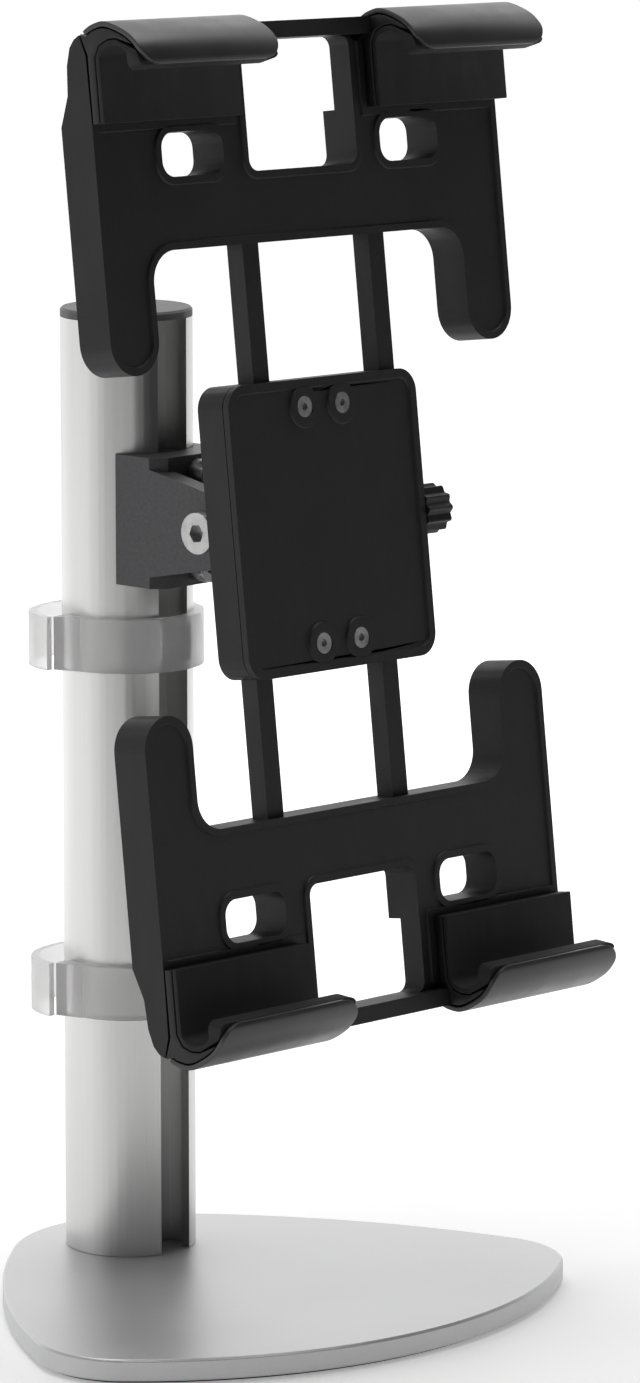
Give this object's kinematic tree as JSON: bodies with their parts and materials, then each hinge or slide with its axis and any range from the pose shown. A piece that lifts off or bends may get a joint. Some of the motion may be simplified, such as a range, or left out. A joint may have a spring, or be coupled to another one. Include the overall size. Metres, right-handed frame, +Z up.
{
  "type": "tablet stand",
  "caption": "Desk stand that holds a tablet between padded claws on a tilting, turning cradle, carried by a slotted round column on a flat rounded-triangle plate.",
  "frame": {"origin": "on the desk, on the axis of the column", "axes": "+Z up along the column, -Y towards the front, where the tablet faces, +X to the right seen from the front"},
  "size_m": [0.1672, 0.1444, 0.3371],
  "materials": {
    "silver_paint": "satin metallic",
    "anodised_aluminium": "satin anodised",
    "cap_plastic": "matt",
    "clear_plastic": "milky clear",
    "cast_metal": "satin dark grey",
    "steel": "zinc plated",
    "nylon": "matt",
    "black_plastic": "fine texture",
    "cover_plastic": "satin",
    "rubber": "matt"
  },
  "bodies": {
    "base": {"base_plate": "silver_paint", "base_pad": "rubber", "base_screw": "steel", "column": "anodised_aluminium", "column_cap": "cap_plastic"},
    "upper_clip": {"cable_clip_upper": "clear_plastic"},
    "lower_clip": {"cable_clip_lower": "clear_plastic"},
    "carriage": {"slot_slider": "steel", "arm_bracket": "cast_metal", "clamp_screw_upper": "steel", "clamp_screw_lower": "steel", "tilt_bolt": "steel", "tilt_nut": "steel", "tilt_washer_left": "nylon", "tilt_washer_right": "nylon"},
    "tilt_head": {"tilt_knuckle": "cast_metal", "turn_disc": "nylon", "turn_bolt": "steel", "turn_washer": "steel"},
    "hub": {"hub_back": "black_plastic", "hub_front": "black_plastic", "hub_screw_1": "steel", "hub_screw_2": "steel", "hub_screw_3": "steel", "hub_screw_4": "steel", "lock_shoe": "nylon"},
    "knob": {"lock_knob": "black_plastic"},
    "gear": {"pinion": "nylon"},
    "upper_half": {"upper_frame": "black_plastic", "upper_rack": "black_plastic", "upper_guide": "black_plastic", "upper_rack_screw": "steel", "upper_guide_screw": "steel", "upper_left_claw": "black_plastic", "upper_left_cover": "cover_plastic", "upper_left_lining": "rubber", "upper_right_claw": "black_plastic", "upper_right_cover": "cover_plastic", "upper_right_lining": "rubber"},
    "lower_half": {"lower_frame": "black_plastic", "lower_rack": "black_plastic", "lower_guide": "black_plastic", "lower_rack_screw": "steel", "lower_guide_screw": "steel", "lower_left_claw": "black_plastic", "lower_left_cover": "cover_plastic", "lower_left_lining": "rubber", "lower_right_claw": "black_plastic", "lower_right_cover": "cover_plastic", "lower_right_lining": "rubber"}
  },
  "joints": [
    {"name": "arm_height", "type": "slide", "parent": "base", "child": "carriage", "axis": [0, 0, 1], "range_m": [-0.008, 0.032]},
    {"name": "upper_clip_slide", "type": "slide", "parent": "base", "child": "upper_clip", "axis": [0, 0, 1], "range_m": [-0.037, 0]},
    {"name": "lower_clip_slide", "type": "slide", "parent": "base", "child": "lower_clip", "axis": [0, 0, 1], "range_m": [-0.062, 0.037]},
    {"name": "tilt", "type": "hinge", "parent": "carriage", "child": "tilt_head", "pos_m": [0, -0.0426, 0.2032], "axis": [-1, 0, 0], "range_deg": [-17.4, 27.6]},
    {"name": "turn", "type": "hinge", "parent": "tilt_head", "child": "hub", "pos_m": [0, -0.08623, 0.20887], "axis": [0, -0.9917, 0.1288], "range_deg": [-88.9, 91.1]},
    {"name": "lock_knob_turn", "type": "hinge", "parent": "hub", "child": "knob", "pos_m": [0.03499, -0.06788, 0.2058], "axis": [0.9998, -0.0025, -0.019], "range_deg": [0, 180]},
    {"name": "upper_slide", "type": "slide", "parent": "hub", "child": "upper_half", "axis": [0.0192, 0.1288, 0.9915], "range_m": [-0.02, 0.008]},
    {"name": "lower_slide", "type": "slide", "parent": "hub", "child": "lower_half", "axis": [-0.0192, -0.1288, -0.9915], "range_m": [-0.02, 0.008]},
    {"name": "pinion_spin", "type": "hinge", "parent": "hub", "child": "gear", "pos_m": [0, -0.0664, 0.20629], "axis": [0, -0.9917, 0.1288], "range_deg": [-31, 77]}
  ],
  "couplings": [
    {"joint": "lower_slide", "follows": "upper_slide", "ratio": 1},
    {"joint": "pinion_spin", "follows": "upper_slide", "rad_per_m": -66.667}
  ]
}
